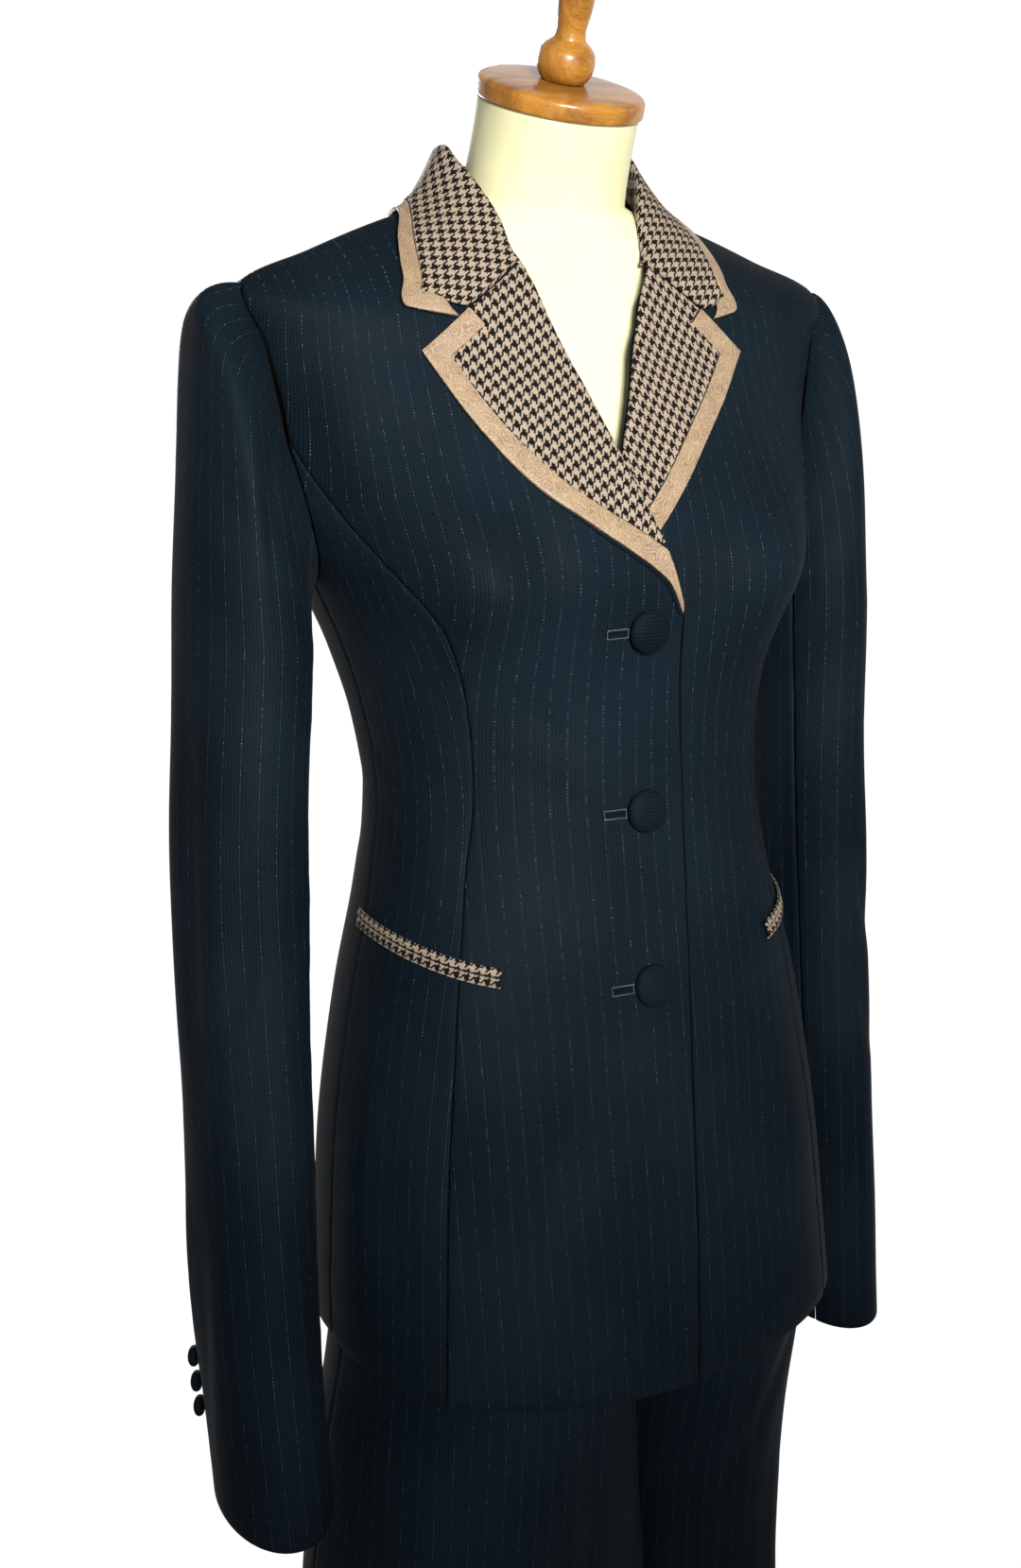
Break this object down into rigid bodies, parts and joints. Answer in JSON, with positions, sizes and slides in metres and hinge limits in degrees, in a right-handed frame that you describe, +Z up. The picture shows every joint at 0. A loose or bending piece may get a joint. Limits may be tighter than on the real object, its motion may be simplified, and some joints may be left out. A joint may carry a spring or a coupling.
{
  "type": "showmanship suit on dress form",
  "caption": "Women's fitted showmanship jacket and wide trousers in dark pinstripe cloth, with houndstooth collar and lapels edged in taupe satin, standing on a limbless dress form.",
  "frame": {"origin": "centre of the stand base's flat underside, on the floor", "axes": "+Z up, -Y the suit's front, +X the wearer's left"},
  "size_m": [0.5114, 0.38, 1.554],
  "materials": {
    "suit_wool": "near-black navy wool with fine ribs and broken silvery pinstripes, faint sheen",
    "houndstooth": "woven houndstooth check in tan and dark brown, matte",
    "band_satin": "taupe satin jacquard with self-coloured scrolls",
    "form_jersey": "smooth cream jersey cover",
    "form_wood": "amber wood under gloss varnish",
    "form_metal": "dark grey satin paint"
  },
  "bodies": {
    "root": {"buttonhole_1": "suit_wool", "buttonhole_2": "suit_wool", "buttonhole_3": "suit_wool", "collar": "houndstooth", "collar_trim": "band_satin", "form_base": "form_metal", "form_finial": "form_wood", "form_neck_cap": "form_wood", "form_pole": "form_metal", "form_torso": "form_jersey", "front_button_1": "suit_wool", "front_button_2": "suit_wool", "front_button_3": "suit_wool", "left_back": "suit_wool", "left_cuff_button_1": "suit_wool", "left_cuff_button_2": "suit_wool", "left_cuff_button_3": "suit_wool", "left_front": "suit_wool", "left_lapel": "houndstooth", "left_lapel_trim": "band_satin", "left_leg_back": "suit_wool", "left_leg_front": "suit_wool", "left_side_front": "suit_wool", "left_under_sleeve": "suit_wool", "left_upper_sleeve": "suit_wool", "left_welt_lower": "houndstooth", "left_welt_upper": "houndstooth", "right_back": "suit_wool", "right_cuff_button_1": "suit_wool", "right_cuff_button_2": "suit_wool", "right_cuff_button_3": "suit_wool", "right_front": "suit_wool", "right_lapel": "houndstooth", "right_lapel_trim": "band_satin", "right_leg_back": "suit_wool", "right_leg_front": "suit_wool", "right_side_front": "suit_wool", "right_under_sleeve": "suit_wool", "right_upper_sleeve": "suit_wool", "right_welt_lower": "houndstooth", "right_welt_upper": "houndstooth", "waistband": "suit_wool"}
  },
  "joints": []
}
